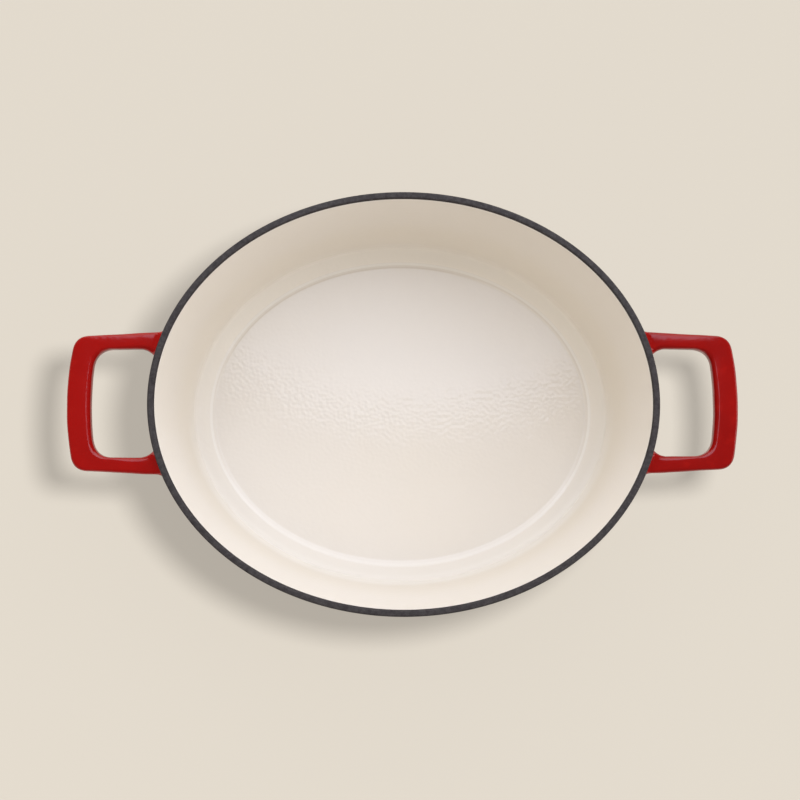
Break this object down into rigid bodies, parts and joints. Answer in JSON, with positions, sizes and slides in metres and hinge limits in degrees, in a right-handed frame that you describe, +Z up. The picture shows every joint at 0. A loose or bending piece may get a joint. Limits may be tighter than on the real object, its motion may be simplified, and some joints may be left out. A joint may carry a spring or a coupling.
{
  "type": "oval casserole dish",
  "caption": "Oval enamelled cast-iron casserole pot, open at the top, red outside and cream inside, with a dark rim and a loop handle at each end for cooking and serving.",
  "frame": {"origin": "on the table, under the middle of the pot", "axes": "+X along the pot to the right handle, +Y across it to the far side, +Z up to the open rim"},
  "size_m": [0.3972, 0.2488, 0.11],
  "materials": {
    "cast_iron": "matte",
    "cream_enamel": "gloss",
    "red_enamel": "gloss",
    "dark_enamel": "matte"
  },
  "bodies": {
    "root": {"pot_casting": "cast_iron", "right_handle_casting": "cast_iron", "left_handle_casting": "cast_iron", "interior_enamel": "cream_enamel", "exterior_enamel": "red_enamel", "base_enamel": "red_enamel", "rim_enamel": "dark_enamel", "right_handle_enamel": "red_enamel", "left_handle_enamel": "red_enamel"}
  },
  "joints": []
}
